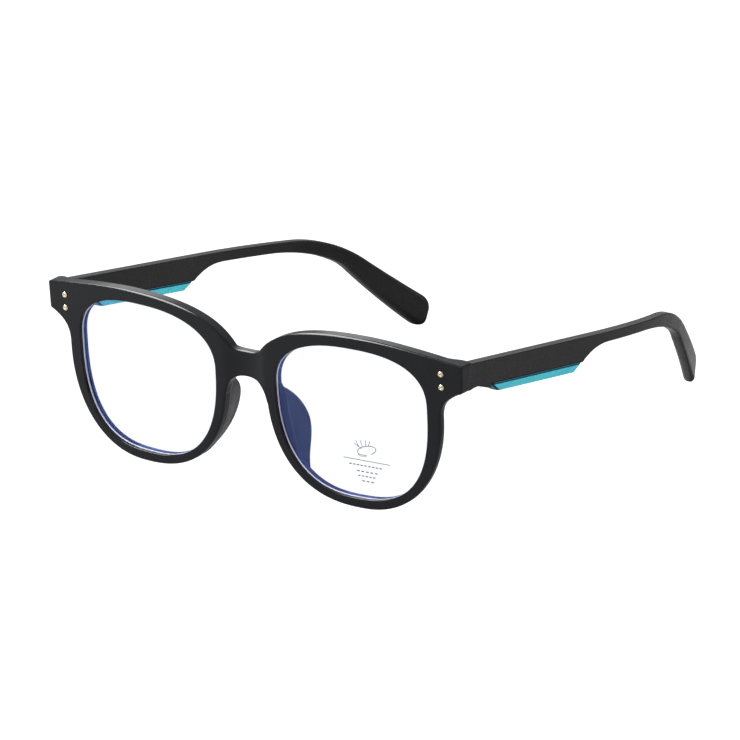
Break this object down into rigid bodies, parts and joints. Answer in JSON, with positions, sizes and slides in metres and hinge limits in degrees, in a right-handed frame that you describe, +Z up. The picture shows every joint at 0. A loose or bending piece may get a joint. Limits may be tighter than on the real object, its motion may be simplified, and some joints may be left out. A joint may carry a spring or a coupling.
{
  "type": "blue light glasses",
  "caption": "Square full-rim glasses with clear coated lenses, moulded nose pads, riveted end pieces and folding temples with a teal trim strip.",
  "frame": {"origin": "below the middle of the open glasses, on the surface they stand on: the bottom centre of the open glasses' box", "axes": "+X to the wearer's left, the rims face -Y, the temples run back along +Y, +Z up"},
  "size_m": [0.1416, 0.1434, 0.049],
  "materials": {
    "front_plastic": "polished black",
    "temple_plastic": "satin black",
    "pad_plastic": "satin black",
    "coated_lens": "clear with a weak blue anti-reflective coating",
    "gold_rivet": "polished pale gold",
    "teal_trim": "anodised teal",
    "hinge_steel": "brushed",
    "screw_steel": "turned",
    "wire_steel": "drawn"
  },
  "bodies": {
    "front": {"front_frame": "front_plastic", "right_lens": "coated_lens", "left_lens": "coated_lens", "right_nose_pad": "pad_plastic", "left_nose_pad": "pad_plastic", "right_front_rivets": "gold_rivet", "left_front_rivets": "gold_rivet", "right_front_hinge_leaf": "hinge_steel", "left_front_hinge_leaf": "hinge_steel", "right_hinge_screw": "screw_steel", "left_hinge_screw": "screw_steel"},
    "left_arm": {"left_temple": "temple_plastic", "left_trim_strip": "teal_trim", "left_temple_hinge_leaf": "hinge_steel", "left_leaf_screws": "screw_steel", "left_core_wire": "wire_steel"},
    "right_arm": {"right_temple": "temple_plastic", "right_trim_strip": "teal_trim", "right_temple_hinge_leaf": "hinge_steel", "right_leaf_screws": "screw_steel", "right_core_wire": "wire_steel"}
  },
  "joints": [
    {"name": "left_fold", "type": "hinge", "parent": "front", "child": "left_arm", "pos_m": [0.065, -0.06051, 0.04497], "axis": [0, 0.1357, 0.9907], "range_deg": [0, 82.8]},
    {"name": "right_fold", "type": "hinge", "parent": "front", "child": "right_arm", "pos_m": [-0.065, -0.06051, 0.04497], "axis": [0, -0.1357, -0.9907], "range_deg": [0, 63.5]}
  ]
}
